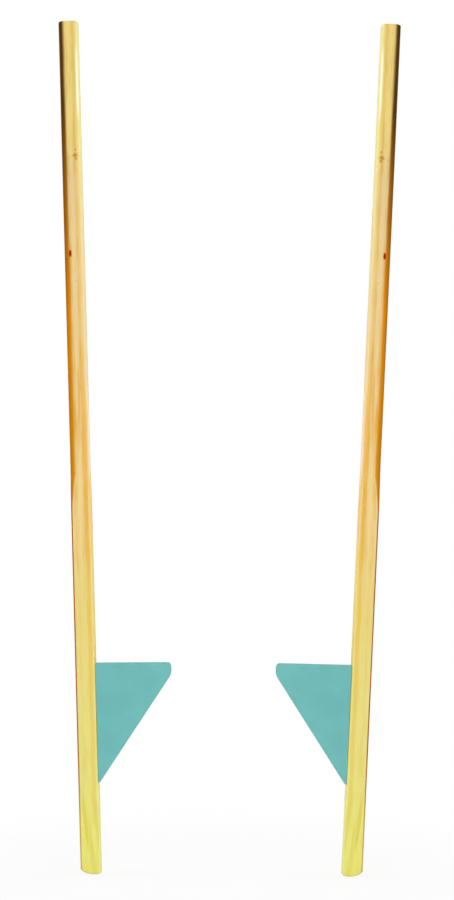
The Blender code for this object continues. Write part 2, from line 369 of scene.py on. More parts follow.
MARKS = (
    Mark(0.0022, 0.8630, 0.0009, 0.0011, "stain", 0.50, 0.30),
    Mark(0.0062, 1.0490, 0.0040, 0.0042, "stain", 0.80, 0.70),
    Mark(0.0065, 1.0570, 0.0014, 0.0026, "stain", 0.75, 0.50),
    Mark(0.0068, 1.0440, 0.0022, 0.0030, "stain", 0.70, 0.60),
    Mark(0.0030, 1.0480, 0.0025, 0.0020, "stain", 0.50, 0.80),
    Mark(-0.0040, 1.0448, 0.0022, 0.0010, "stain", 0.20, 0.90),
    Mark(0.0000, 1.0462, 0.0400, 0.0008, "stain", 0.10, 0.30),
    Mark(0.0024, 0.6900, 0.0010, 0.0500, "middle_streak", 0.60, 0.10),
    Mark(-0.0045, 0.9000, 0.0015, 0.0350, "upper_streak", 0.60, 0.10),
    Mark(0.0063, 0.5815, 0.0022, 0.0006, "scratch", 0.60, 0.30),
    Mark(0.0081, 0.5380, 0.0030, 0.0006, "scratch", 0.45, 0.30),
    Mark(-0.0057, 0.0780, 0.0034, 0.0480, "foot_grain", 0.62, 0.25, -0.085),
    Mark(0.0012, 0.0560, 0.0016, 0.0380, "foot_grain", 0.25, 0.25, -0.085),
    Mark(0.0056, 0.7620, 0.0016, 0.0170, "middle_streak", 0.75, 0.40, -0.030),
    Mark(0.0013, 0.6900, 0.0018, 0.0580, "middle_streak", 0.60, 0.25, 0.010),
    Mark(-0.0046, 0.6640, 0.0016, 0.0340, "middle_streak", 0.70, 0.25, 0.005),
    Mark(0.0094, 0.6350, 0.0034, 0.0950, "middle_streak", 0.58, 0.25, 0.003),
    Mark(0.0052, 0.5050, 0.0034, 0.0900, "middle_streak", 0.20, 0.15, 0.025),
    Mark(-0.0035, 0.5000, 0.0045, 0.0700, "waist_wood", 0.50, 0.25),
    Mark(-0.0054, 0.9033, 0.0025, 0.0066, "knot", 1.00, 0.15),
)

# Heights at which the pole's tones are given, and their names. The wood's change of tone from the foot up
# is partly painted light: it follows how the level and colour of the light change along the pole.
WOOD_AND_LIGHT_STOPS = (
    (0.0, "foot"),
    (0.17, "shin"),
    (0.38, "knee"),
    (0.52, "waist"),
    (0.66, "middle"),
    (0.80, "upper"),
    (1.02, "upper"),
    (1.07, "grip"),
)
# Painted shade on the outer side by height: orange in the middle, dark brown at the top of the grip
PAINTED_SHADE_STOPS = (
    (0.03, "foot_edge"),
    (0.18, "shin_painted_shade"),
    (0.52, "shin_painted_shade"),
    (0.57, "waist_painted_shade"),
    (0.66, "waist_painted_shade"),
    (0.82, "middle_painted_shade"),
    (1.12, "grip_painted_shade"),
)
# Painted light and shade on the inner side by height
PAINTED_INNER_LIGHTING_STOPS = (
    (0.08, "foot_glow"),
    (0.20, "shin_painted_inner_lighting"),
    (0.45, "shin_painted_inner_lighting"),
    (0.54, "waist_painted_inner_lighting"),
    (0.567, "waist_painted_inner_lighting"),
    (0.595, "middle_painted_inner_lighting"),
    (0.88, "middle_painted_inner_lighting"),
    (1.05, "grip_painted_inner_lighting"),
)


def stilt_matrix(side):
    """Where a stilt stands: leaning outwards about the middle of its rounded foot."""
    sizes = bpy.context.scene.stilt_sizes
    left = side == "left"
    x = -sizes.foot_spacing / 2 if left else sizes.foot_spacing / 2
    turn = 0.0 if left else math.pi
    stand = Matrix.Translation((x, 0, sizes.foot_round))
    lean = Matrix.Rotation(turn, 4, "Z") @ Matrix.Rotation(-sizes.lean, 4, "Y")
    return stand @ lean @ Matrix.Translation((-sizes.foot_apex, 0, -sizes.foot_round))


def bolt_height(place):
    sizes = bpy.context.scene.stilt_sizes
    drop = sizes.upper_drop if place == "upper" else sizes.lower_drop
    return sizes.tread_height - drop


def join_rings(bm, low, high):
    for i in range(len(low)):
        j = (i + 1) % len(low)
        bm.faces.new((low[i], low[j], high[j], high[i]))


def loft(rings, closed=False):
    """A solid through rings of equal length. Closed joins the last ring to the first, as in a tube."""
    bm = bmesh.new()
    rows = [[bm.verts.new(point) for point in points] for points in rings]
    for low, high in zip(rows, rows[1:]):
        join_rings(bm, low, high)
    if closed:
        join_rings(bm, rows[-1], rows[0])
    else:
        bm.faces.new(rows[0])
        bm.faces.new(rows[-1])
    bmesh.ops.recalc_face_normals(bm, faces=bm.faces)
    return bm


def fan_ends(bm):
    """The solid with each end face split into a fan round its middle."""
    ends = [face for face in bm.faces if len(face.verts) > 4]
    bmesh.ops.poke(bm, faces=ends)
    return bm


def ring(x, reaches, height):
    """A ring round a bolt's axis, from how far out it lies at each step of the turn."""
    return [Vector((x, r * math.cos(t), height + r * math.sin(t))) for r, t in zip(reaches, TURNS)]


def circle(x, radius, height, groove=0.0):
    """A round ring. A groove sinks every other point, for a knurl."""
    return ring(x, [radius - groove * (i % 2) for i in range(TURNED_STEPS)], height)


def hexagon(x, width, height):
    """A ring with as many points as a round one, laid on the six flats of a key socket."""
    from_flats = [(turn + math.pi / 6) % (math.pi / 3) - math.pi / 6 for turn in TURNS]
    return ring(x, [width / 2 / math.cos(turn) for turn in from_flats], height)


def turned(height, profile, closed=False):
    """A solid turned about a bolt's axis, from places along the axis and the radius at each."""
    return loft([circle(x, radius, height) for x, radius in profile], closed)


def plain_mesh(bm):
    mesh = bpy.data.meshes.new("plain")
    bm.to_mesh(mesh)
    bm.free()
    return mesh


def add_object(name, data):
    made = bpy.data.objects.new(name, data)
    bpy.context.scene.collection.objects.link(made)
    return made


def drilled(bm, cutters):
    """The solid as a mesh, with each cutter taken out of it."""
    block = add_object("block", plain_mesh(bm))
    tools = [add_object("cutter", plain_mesh(cutter)) for cutter in cutters]
    for tool in tools:
        cut = block.modifiers.new("hole", "BOOLEAN")
        cut.operation = "DIFFERENCE"
        cut.solver = "EXACT"
        cut.object = tool
    depsgraph = bpy.context.evaluated_depsgraph_get()
    mesh = bpy.data.meshes.new_from_object(block.evaluated_get(depsgraph), depsgraph=depsgraph)
    for made in (block, *tools):
        bpy.data.meshes.remove(made.data)
    return mesh


def write_numbers(mesh, name, kind, values):
    """Stores one number or one vector for each point of a mesh, for its material to read."""
    field = "vector" if kind == "FLOAT_VECTOR" else "value"
    attribute = mesh.attributes.new(name, kind, "POINT")
    flat = [part for value in values for part in value] if kind == "FLOAT_VECTOR" else list(values)
    attribute.data.foreach_set(field, flat)


def add_piece(name, mesh, side, material, slot_name, *nodes):
    """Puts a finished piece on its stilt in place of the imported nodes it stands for."""
    mesh.name = name
    mesh.shade_smooth()
    mesh.set_sharp_from_angle(angle=math.radians(SMOOTH_BELOW_DEGREES))
    mesh.materials.clear()
    mesh.materials.append(material)
    piece = add_object(name, mesh)
    piece.matrix_world = stilt_matrix(side)
    check_place(piece, nodes)
    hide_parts(*nodes)
    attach(piece, f"{side}_stilt")


def check_place(piece, nodes):
    """Raises an error if a piece doesn't fill the box of the nodes it stands for."""
    corners = [piece.matrix_world @ vert.co for vert in piece.data.vertices]
    boxes = [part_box(node) for node in nodes]
    for axis in range(3):
        low = min(corner[axis] for corner in corners) - min(box[0][axis] for box in boxes)
        high = max(corner[axis] for corner in corners) - max(box[1][axis] for box in boxes)
        if max(abs(low), abs(high)) > FIT_TOLERANCE:
            raise RuntimeError(f"{piece.name} is off by {low:.5f} and {high:.5f} m along axis {axis}")


def corner_radius(height, corner):
    """Corner radius at a height: small below, growing faster and faster up the run-out to the grip's."""
    sizes = bpy.context.scene.stilt_sizes
    run = min(max((height - sizes.grip_start) / sizes.runout_length, 0.0), 1.0)
    radius = sizes.arris_radius + (sizes.grip_radius - sizes.arris_radius) * run**sizes.runout_power
    sanding = noise.noise(Vector((height * SANDING_WAVES, corner * SANDING_APART, SANDING_START)))
    return radius * (1 + sizes.unevenness * sanding)


def quarter_turn(steps):
    """Angles through a quarter of a turn."""
    return [i * math.pi / 2 / steps for i in range(steps + 1)]


def pole_outline(width, radii):
    """One turn round the pole. Points just past each corner keep the flats flat."""
    points = []
    for quarter, radius in enumerate(radii):
        next_radius = radii[(quarter + 1) % 4]
        turn = Matrix.Rotation(quarter * math.pi / 2, 2)
        inner = width / 2 - radius
        for around in quarter_turn(CORNER_STEPS):
            arc = Vector((math.cos(around), math.sin(around))) * radius
            points.append(turn @ (Vector((inner, inner)) + arc))
        far = next_radius - width / 2
        for along in FLAT_SHARES:
            points.append(turn @ Vector((inner + (far - inner) * along, width / 2)))
    return points


def sole_height(x, y):
    """Height of the rounded sole above its low point."""
    sizes = bpy.context.scene.stilt_sizes
    across = x - sizes.foot_apex
    side = sizes.foot_round - math.sqrt(sizes.foot_round**2 - across**2)
    fore = sizes.foot_rock - math.sqrt(sizes.foot_rock**2 - y**2)
    return side + fore


def sole_ring(reach, lift):
    """The pole's outline shrunk about the sole's low point and laid on the sole, or a little above it."""
    sizes = bpy.context.scene.stilt_sizes
    radii = [corner_radius(0.0, corner) for corner in range(4)]
    points = []
    for point in pole_outline(sizes.pole_width, radii):
        x = sizes.foot_apex + (point.x - sizes.foot_apex) * reach
        y = point.y * reach
        points.append(Vector((x, y, sole_height(x, y) + lift)))
    return points


def level_ring(height, inset=0.0):
    sizes = bpy.context.scene.stilt_sizes
    radii = [corner_radius(height, corner) - inset for corner in range(4)]
    return [Vector((p.x, p.y, height)) for p in pole_outline(sizes.pole_width - 2 * inset, radii)]


def spread(start, end, steps):
    return [start + (end - start) * i / steps for i in range(steps + 1)]


def pole_rings():
    sizes = bpy.context.scene.stilt_sizes
    ease_reach = 1 - sizes.foot_ease / (sizes.pole_width / 2)
    rings = [sole_ring(reach, 0.0) for reach in spread(SOLE_CAP_SHARE, ease_reach, SOLE_RINGS)]
    for turn in quarter_turn(EASE_STEPS)[1:]:
        reach = ease_reach + (1 - ease_reach) * math.sin(turn)
        rings.append(sole_ring(reach, sizes.foot_ease * (1 - math.cos(turn))))
    runout_end = sizes.grip_start + sizes.runout_length
    top = sizes.pole_length - sizes.top_ease
    lower_steps = round(sizes.grip_start / RING_EVERY)
    grip_steps = round((top - runout_end) / RING_EVERY)
    heights = spread(RING_EVERY, sizes.grip_start, lower_steps)
    heights += spread(sizes.grip_start, runout_end, RUNOUT_STEPS)[1:]
    heights += spread(runout_end, top, grip_steps)[1:]
    rings += [level_ring(height) for height in heights]
    for turn in quarter_turn(EASE_STEPS)[1:]:
        inset = sizes.top_ease * (1 - math.cos(turn))
        rings.append(level_ring(top + sizes.top_ease * math.sin(turn), inset))
    rings.append(level_ring(sizes.pole_length, sizes.top_ease + HOLD))
    return rings


def pole_hole(height):
    """Room for a bolt's head and washer in the outer side, eased at its mouth, then the bolt's hole."""
    sizes = bpy.context.scene.stilt_sizes
    outer = -sizes.pole_width / 2
    radius = sizes.washer_diameter / 2 + sizes.fit_gap
    hole = sizes.bolt_diameter / 2 + sizes.fit_gap
    floor = outer + sizes.head_recess + sizes.head_height + sizes.washer_thickness + 2 * sizes.fit_gap
    return turned(height, [
        (outer - OVERCUT, radius + sizes.hole_ease + OVERCUT),
        (outer + sizes.hole_ease, radius),
        (floor, radius),
        (floor, hole),
        (-outer + OVERCUT, hole),
    ])


def mirrored(point, side):
    """A point of the right stilt as its mirror image on the left one, so that the pair's grain matches."""
    return point if side == "left" else Vector((point.x, -point.y, point.z))


def soft_step(value, low, high):
    along = min(max((value - low) / (high - low), 0.0), 1.0)
    return along * along * (3 - 2 * along)


def in_hole(point):
    """Whether a point of the pole lies inside one of its drilled holes."""
    sizes = bpy.context.scene.stilt_sizes
    reach = sizes.washer_diameter / 2 + sizes.fit_gap + 2 * sizes.hole_ease
    near = any(math.hypot(point.y, point.z - bolt_height(place)) < reach for place in PLACES)
    return near and abs(point.x) < sizes.pole_width / 2 - sizes.hole_ease / 2


def facing(vert):
    """How far a point of the pole faces the foot rest: 1 on that side, -1 on the outer side."""
    sizes = bpy.context.scene.stilt_sizes
    x, y, z = vert.co
    if z < RING_EVERY or z > sizes.pole_length - sizes.top_ease:
        return vert.normal.x
    if in_hole(vert.co):
        return 0.0
    corner = (0 if y > 0 else 3) if x > 0 else (1 if y > 0 else 2)
    radius = corner_radius(z, corner)
    past_flat = abs(x) - (sizes.pole_width / 2 - radius)
    return math.copysign(max(past_flat, 0.0) / radius, x)


def outer_tone(turn, height):
    """How much of the outer side's painted shade shows: most on its rounded corners, less on its flat."""
    upper = soft_step(height, TOP_SHADE_BAND_BEGINS, TOP_SHADE_BAND_FULL)
    begins, full, thins = [low + (top - low) * upper for low, top in zip(LOWER_SHADE_BAND, TOP_SHADE_BAND)]
    return soft_step(-turn, begins, full) * (1 - OUTER_FLAT_SHADE_LOSS * soft_step(-turn, thins, 1.0))


def mark_pole(mesh, side):
    """Stores where each point lies in the board, which way it faces, its painted outer shade and the cut
    ends.
    """
    turns = [facing(vert) for vert in mesh.vertices]
    shade_amounts = [outer_tone(turn, vert.co.z) for turn, vert in zip(turns, mesh.vertices)]
    ends = [0.0 if in_hole(vert.co) else vert.normal.z**2 for vert in mesh.vertices]
    write_numbers(mesh, "board_place", "FLOAT_VECTOR", [mirrored(v.co, side) for v in mesh.vertices])
    write_numbers(mesh, "side_turn", "FLOAT", turns)
    write_numbers(mesh, "outer_tone", "FLOAT", shade_amounts)
    write_numbers(mesh, "cut_end", "FLOAT", ends)


def corner_arc(before, corner, after, radius):
    """Points of the arc that rounds a corner between two straight edges."""
    into = (before - corner).normalized()
    out = (after - corner).normalized()
    half_angle = into.angle(out) / 2
    setback = radius / math.tan(half_angle)
    centre = corner + (into + out).normalized() * (radius / math.sin(half_angle))
    start = corner + into * setback - centre
    turn = start.angle_signed(corner + out * setback - centre)
    return [centre + Matrix.Rotation(-turn * i / FILLET_STEPS, 2) @ start for i in range(FILLET_STEPS + 1)]


def rest_outline():
    """The rest's side shape, from the tread at the pole round the nose to the toe."""
    sizes = bpy.context.scene.stilt_sizes
    back = sizes.pole_width / 2 + sizes.fit_gap
    nose_x = back + sizes.rest_depth
    fall = sizes.rest_depth * math.tan(sizes.tread_fall)
    low = sizes.tread_height - sizes.rest_height
    heel = Vector((back, sizes.tread_height))
    nose = Vector((nose_x, sizes.tread_height - fall))
    under = Vector((nose_x, sizes.tread_height - fall - sizes.nose_height))
    toe = Vector((back + sizes.toe_width, low))
    top_arc = corner_arc(heel, nose, under, sizes.nose_top_radius)
    under_arc = corner_arc(nose, under, toe, sizes.nose_under_radius)
    return [heel, *top_arc, *under_arc, toe, Vector((back, low))]


def rest_solid():
    """The rest with its edges eased, apart from those against the pole."""
    sizes = bpy.context.scene.stilt_sizes
    half = sizes.rest_thickness / 2
    back = sizes.pole_width / 2 + sizes.fit_gap
    outline = rest_outline()
    bm = loft([[Vector((p.x, y, p.y)) for p in outline] for y in (-half, half)])
    eased = []
    for edge in bm.edges:
        ends = [vert.co for vert in edge.verts]
        along_face = abs(ends[0].y - ends[1].y) < half
        on_pole = all(end.x - back < sizes.fit_gap for end in ends)
        if along_face and not on_pole:
            eased.append(edge)
    bmesh.ops.bevel(
        bm,
        geom=eased,
        offset=sizes.rest_ease,
        segments=EASE_STEPS,
        profile=0.5,
        affect="EDGES",
        clamp_overlap=False,
    )
    flats = [face for face in bm.faces if face.calc_area() > sizes.rest_thickness * sizes.nose_height]
    bmesh.ops.inset_individual(bm, faces=flats, thickness=HOLD, use_even_offset=True)
    return bm


def rest_hole(height):
    """Room for an insert in the rest's back, then for the bolt's tip behind it."""
    sizes = bpy.context.scene.stilt_sizes
    back = sizes.pole_width / 2 + sizes.fit_gap
    radius = sizes.insert_radius + sizes.fit_gap
    hole = sizes.bolt_diameter / 2 + sizes.fit_gap
    floor = back + sizes.insert_length + sizes.fit_gap
    return turned(height, [
        (back - OVERCUT, radius),
        (floor, radius),
        (floor, hole),
        (sizes.bolt_end + OVERCUT, hole),
    ])


def mark_rest(mesh, side):
    """Stores where each point lies in the board, whose length runs along the tread, and the worn edges."""
    places = []
    for vert in mesh.vertices:
        place = mirrored(vert.co, side)
        places.append(Vector((place.z, place.y, place.x)))
    write_numbers(mesh, "board_place", "FLOAT_VECTOR", places)
    # An edge's mask is 1 where the surface has turned half way from the front, and 0 on the flats
    forwards = [vert.normal.y**2 for vert in mesh.vertices]
    write_numbers(mesh, "edge", "FLOAT", [4 * part * (1 - part) for part in forwards])


def thread_rings(start, end, height):
    """The bolt's thread as rings whose radius follows the turning helix."""
    sizes = bpy.context.scene.stilt_sizes
    crest = sizes.bolt_diameter / 2
    steps = round((end - start) / sizes.thread_pitch * THREAD_STEPS)
    rings = []
    for x in spread(start, end, steps):
        depth = sizes.thread_depth * min(1.0, (x - start) / sizes.thread_pitch)
        helix = math.tau * x / sizes.thread_pitch
        reaches = [crest - depth * (1 - math.cos(helix - turn)) / 2 for turn in TURNS]
        rings.append(ring(x, reaches, height))
    return rings


def bolt_solid(height):
    """A socket head bolt with a knurled head and a rolled thread."""
    sizes = bpy.context.scene.stilt_sizes
    top = sizes.head_recess - sizes.pole_width / 2
    face = top + sizes.head_height
    head = sizes.head_diameter / 2
    shank = sizes.bolt_diameter / 2
    knurl = sizes.knurl_depth
    socket_corner = sizes.socket_width / math.sqrt(3)
    thread_start = sizes.bolt_end - sizes.thread_length
    thread_end = sizes.bolt_end - sizes.thread_depth
    rings = [
        hexagon(top + sizes.socket_depth, sizes.socket_width, height),
        hexagon(top + sizes.head_ease / 2, sizes.socket_width, height),
        circle(top, socket_corner, height),
    ]
    for turn in quarter_turn(EASE_STEPS):
        inset = sizes.head_ease * (1 - math.sin(turn))
        rings.append(circle(top + sizes.head_ease * (1 - math.cos(turn)), head - inset, height))
    rings += [
        circle(top + 2 * sizes.head_ease, head, height),
        circle(top + 2 * sizes.head_ease + knurl, head, height, knurl),
        circle(face - sizes.head_ease, head, height, knurl),
        circle(face - sizes.head_ease + knurl, head, height),
        circle(face, head, height),
        circle(face, shank, height),
    ]
    rings += thread_rings(thread_start, thread_end, height)
    rings.append(circle(sizes.bolt_end, shank - sizes.thread_depth, height))
    return fan_ends(loft(rings))


def washer_solid(height):
    sizes = bpy.context.scene.stilt_sizes
    hole = sizes.bolt_diameter / 2 + sizes.fit_gap
    outer = sizes.washer_diameter / 2
    front = sizes.head_recess + sizes.head_height + sizes.fit_gap - sizes.pole_width / 2
    back = front + sizes.washer_thickness
    ease = sizes.washer_ease
    profile = [
        (front, hole + ease),
        (front, outer - ease),
        (front + ease, outer),
        (back - ease, outer),
        (back, outer - ease),
        (back, hole + ease),
        (back - ease, hole),
        (front + ease, hole),
    ]
    return turned(height, profile, closed=True)


def put(tree, kind, inputs=None, **settings):
    """Adds a shader node. Each input is given a plain value or joined to another node's output."""
    node = tree.nodes.new("ShaderNode" + kind)
    for name, value in settings.items():
        setattr(node, name, value)
    for name, value in (inputs or {}).items():
        if isinstance(value, bpy.types.NodeSocket):
            tree.links.new(value, node.inputs[name])
        else:
            node.inputs[name].default_value = value
    return node


def tree_of(values):
    """The node tree that the first socket among some values belongs to."""
    return next(value.id_data for value in values if isinstance(value, bpy.types.NodeSocket))


def sums(operation, *values):
    return put(tree_of(values), "Math", dict(enumerate(values)), operation=operation).outputs[0]


def vectors(operation, *values):
    return put(tree_of(values), "VectorMath", dict(enumerate(values)), operation=operation).outputs[0]


def product(result, *factors):
    for factor in factors:
        result = sums("MULTIPLY", result, factor)
    return result


def fade(value, low, high, start=0.0, end=1.0):
    """A soft step from start to end as the value goes from low to high."""
    values = {"Value": value, "From Min": low, "From Max": high, "To Min": start, "To Max": end}
    return put(value.id_data, "MapRange", values, interpolation_type="SMOOTHSTEP").outputs["Result"]


def blend(amount, first, second):
    """The first colour going over into the second."""
    return put(amount.id_data, "Mix", {0: amount, 6: first, 7: second}, data_type="RGBA").outputs[2]


def speckle(place, detail, roughness=0.5):
    """Noise from 0 to 1."""
    values = {"Vector": place, "Scale": 1.0, "Detail": detail, "Roughness": roughness}
    return put(place.id_data, "TexNoise", values).outputs["Fac"]


def streaks(place, waves, detail=2.0, roughness=0.5):
    """Noise stretched along the board, with so many waves in a metre each way."""
    return speckle(vectors("MULTIPLY", place, waves), detail, roughness)


def blotches(place, size, detail):
    """Noise in patches about as wide as the size."""
    waves = sums("DIVIDE", 1.0, size)
    scaled = put(place.id_data, "VectorMath", {0: place, "Scale": waves}, operation="SCALE")
    return speckle(scaled.outputs[0], detail)


def ramp(position, stops):
    """A colour that changes with position through the given stops."""
    node = put(position.id_data, "ValToRGB", {"Fac": position})
    elements = node.color_ramp.elements
    while len(elements) < len(stops):
        elements.new(1.0)
    for element, (place, stop) in zip(elements, stops):
        element.position = place
        element.color = (*stop, 1.0)
    return node.outputs["Color"]


def read_number(tree, name):
    return put(tree, "Attribute", attribute_name=name).outputs["Fac"]


def read_place(tree):
    return put(tree, "Attribute", attribute_name="board_place").outputs["Vector"]


def height_up(place):
    return put(place.id_data, "SeparateXYZ", {0: place}).outputs["Z"]


def shift_across(place, amount):
    """A place moved back across the board by an amount."""
    return vectors("SUBTRACT", place, put(place.id_data, "CombineXYZ", {"X": amount}).outputs[0])


def distance_to(place):
    return put(place.id_data, "VectorMath", {0: place}, operation="LENGTH").outputs["Value"]


def bumped(relief, strength, distance):
    values = {"Height": relief, "Strength": strength, "Distance": distance}
    return put(relief.id_data, "Bump", values).outputs["Normal"]


def feed(node, sockets):
    """Joins each output to the node's input of that name."""
    for name, output in sockets.items():
        node.id_data.links.new(output, node.inputs[name])


def start_group(name, inputs, outputs):
    """A new shader node group that takes a place in the board and the named inputs."""
    tree = bpy.data.node_groups.new(name, "ShaderNodeTree")
    for label, default in {"Place": (0.0, 0.0, 0.0), **inputs}.items():
        kind = "NodeSocketVector" if isinstance(default, tuple) else "NodeSocketFloat"
        socket = tree.interface.new_socket(label, in_out="INPUT", socket_type=kind)
        socket.default_value = default
    for label in outputs:
        tree.interface.new_socket(label, in_out="OUTPUT", socket_type="NodeSocketFloat")
    return tree, tree.nodes.new("NodeGroupInput").outputs, tree.nodes.new("NodeGroupOutput")


def use_group(group, place, **inputs):
    """The outputs of a node group at a place in the board."""
    named = {label.replace("_", " "): value for label, value in inputs.items()}
    return put(place.id_data, "Group", {"Place": place, **named}, node_tree=group).outputs


@cache
def grain_group():
    """Growth rings round a pith line outside the board, fine fibres along it and slow changes of tone."""
    inputs = {
        "Pith": (-0.075, 0.020, 0.0),
        "Ring Spacing": 0.012,
        "First Ring": 0.0,
        "Strong Ring": 7.0,
        "Wander": 0.0015,
        "Drift Start": 0.11,
        "Drift Slope": 0.11,
    }
    tree, given, result = start_group("Pine grain", inputs, ["Rings", "Fibres", "Tone"])
    place = given["Place"]
    below = sums("SUBTRACT", given["Drift Start"], height_up(place))
    drift = product(sums("MAXIMUM", below, 0.0), given["Drift Slope"])
    from_pith = vectors("SUBTRACT", shift_across(place, drift), given["Pith"])
    radius = distance_to(vectors("MULTIPLY", from_pith, (1.0, 1.0, 0.0)))
    bend = sums("SUBTRACT", streaks(place, BEND_WAVES, 1.0), NOISE_MIDDLE)
    ripple = sums("SUBTRACT", streaks(place, RIPPLE_WAVES), NOISE_MIDDLE)
    wander = sums("MULTIPLY_ADD", ripple, RIPPLE_SHARE, bend)
    both_ways = product(given["Wander"], 2.0)
    bent = sums("MULTIPLY_ADD", wander, both_ways, radius)
    count = sums("ADD", sums("DIVIDE", bent, given["Ring Spacing"]), given["First Ring"])
    within = sums("FRACT", count)
    from_strong = sums("SUBTRACT", sums("FLOOR", count), given["Strong Ring"])
    beat = sums("COSINE", product(from_strong, RING_BEAT))
    late = product(fade(within, *LATE_WOOD_BEGINS), fade(within, *LATE_WOOD_ENDS))
    feed(result, {
        "Rings": product(late, fade(beat, *RING_STRENGTH)),
        "Fibres": streaks(place, FIBRE_WAVES, detail=4.0, roughness=0.6),
        "Tone": streaks(place, TONE_WAVES, detail=3.0),
    })
    return tree


@cache
def mark_group():
    """A mark with a ragged edge round one place in the board: 1 in its middle, 0 outside it."""
    inputs = {"Middle": (0.0, 0.0, 0.0), "Reach": (0.001, 0.001, 0.001), "Ragged": 0.3, "Slant": 0.0}
    tree, given, result = start_group("Small mark", inputs, ["Mask"])
    apart = vectors("SUBTRACT", given["Place"], given["Middle"])
    upright = shift_across(apart, product(height_up(apart), given["Slant"]))
    distance = distance_to(vectors("DIVIDE", upright, given["Reach"]))
    rough = sums("SUBTRACT", streaks(given["Place"], MARK_EDGE_WAVES), NOISE_MIDDLE)
    reach = sums("MULTIPLY_ADD", rough, product(given["Ragged"], RAGGED_REACH), distance)
    feed(result, {"Mask": fade(reach, *MARK_EDGE)})
    return tree


@cache
def wear_group():
    """Where an edge has been rubbed: the edge's own mask, broken up by noise."""
    inputs = {"Edge": 0.0, "Amount": 0.5, "Grain Size": 0.004}
    tree, given, result = start_group("Worn edges", inputs, ["Mask"])
    patches = fade(blotches(given["Place"], given["Grain Size"], detail=3.0), *WEAR_PATCHES)
    feed(result, {"Mask": product(given["Edge"], patches, given["Amount"])})
    return tree


@cache
def handling_group():
    """Signs of use: broad smears left by hands, and fine scratches running mostly one way."""
    tree, given, result = start_group("Handling", {"Smear Size": 0.03}, ["Smears", "Scratches"])
    place = given["Place"]
    lines = fade(streaks(place, SCRATCH_WAVES), *SCRATCH_LINES)
    patches = fade(streaks(place, SCRATCH_PATCH_WAVES), *SCRATCH_PATCHES)
    feed(result, {
        "Smears": blotches(place, given["Smear Size"], detail=4.0),
        "Scratches": product(lines, patches),
    })
    return tree


def start_material(name, **sockets):
    """A material with a Principled shader, its plain values set on the shader itself."""
    material = bpy.data.materials.new(name)
    material.use_nodes = True
    tree = material.node_tree
    shader = tree.nodes["Principled BSDF"]
    for label, value in sockets.items():
        shader.inputs[label.replace("_", " ")].default_value = value
    return material, tree, shader


def height_ramp(height, stops):
    """A colour that changes up the pole, from heights in metres and colour names."""
    scene = bpy.context.scene
    full = scene.stilt_sizes.pole_length
    shares = [(place / full, getattr(scene.stilt_colours, name)) for place, name in stops]
    return ramp(sums("DIVIDE", height, full), shares)


def grained_pine(height, grain):
    """Pale wood with late wood in its rings and fibres."""
    pale = height_ramp(height, [(place, f"{part}_wood") for place, part in WOOD_AND_LIGHT_STOPS])
    late = height_ramp(height, [(place, f"{part}_streak") for place, part in WOOD_AND_LIGHT_STOPS])
    shift = fade(grain["Tone"], *TONE_SHIFT)
    wood = blend(sums("ADD", grain["Rings"], shift), pale, late)
    return blend(fade(grain["Fibres"], *FIBRE_SHIFT), wood, late)


def painted_highlight_amount(turn, height):
    """Where a pale highlight is painted on the grip's inner corners, a little below the top."""
    across = product(fade(turn, *HIGHLIGHT_FROM_FRONT), fade(turn, *HIGHLIGHT_TO_SIDE))
    return product(across, fade(height, *HIGHLIGHT_FROM_BELOW), fade(height, *HIGHLIGHT_TO_TOP))


def varnish_amount(turn, height):
    """How much clear coat shows: a little on the front, most on the grip's inner corners."""
    corner = product(fade(turn, *CORNER_COAT), fade(turn, *COAT_OFF_THE_FLAT))
    return sums("ADD", fade(turn, *FRONT_COAT), product(corner, fade(height, *COAT_UP_THE_POLE)))


def pine_material():
    """Varnished pine for the poles, with painted shade on the outer sides, painted light and shade on the
    inner sides and a painted highlight on the grips.
    """
    colours = bpy.context.scene.stilt_colours
    material, tree, shader = start_material(
        "varnished_pine", Specular_IOR_Level=0.015, Coat_Roughness=0.20, Coat_IOR=1.5
    )
    place = read_place(tree)
    height = height_up(place)
    turn = read_number(tree, "side_turn")
    grain = use_group(grain_group(), place, First_Ring=0.25)
    handling = use_group(handling_group(), place)
    # Colours up the pole for the outer side's painted shade and the inner side's painted light and shade
    edge = height_ramp(height, PAINTED_SHADE_STOPS)
    painted_inner_lighting = height_ramp(height, PAINTED_INNER_LIGHTING_STOPS)
    # Painted shade: the outer side darkened where it turns away from the light
    wood = blend(read_number(tree, "outer_tone"), grained_pine(height, grain), edge)
    # Painted light and shade: the inner side's colours where light falls from between the stilts
    wood = blend(fade(turn, *PAINTED_INNER_LIGHTING_TURNS), wood, painted_inner_lighting)
    # Painted highlight on the grip's inner corners
    wood = blend(painted_highlight_amount(turn, height), wood, (*colours.painted_highlight, 1.0))
    # The cut ends take part of the outer side's colours, as darker end grain
    wood = blend(product(read_number(tree, "cut_end"), CUT_END_TONE), wood, edge)
    for mark in MARKS:
        mask = use_group(mark_group(), place, **mark.shape)["Mask"]
        tint = (*getattr(colours, mark.colour_name), 1.0)
        wood = blend(product(mask, mark.strength), wood, tint)
    relief = sums("MULTIPLY_ADD", grain["Rings"], RING_RELIEF, grain["Fibres"])
    relief = sums("SUBTRACT", relief, handling["Scratches"])
    feed(shader, {
        "Base Color": wood,
        "Roughness": fade(handling["Smears"], *SMEAR_GLOSS, *PINE_ROUGHNESS),
        "Coat Weight": varnish_amount(turn, height),
        "Normal": bumped(relief, strength=0.12, distance=0.0004),
    })
    return material


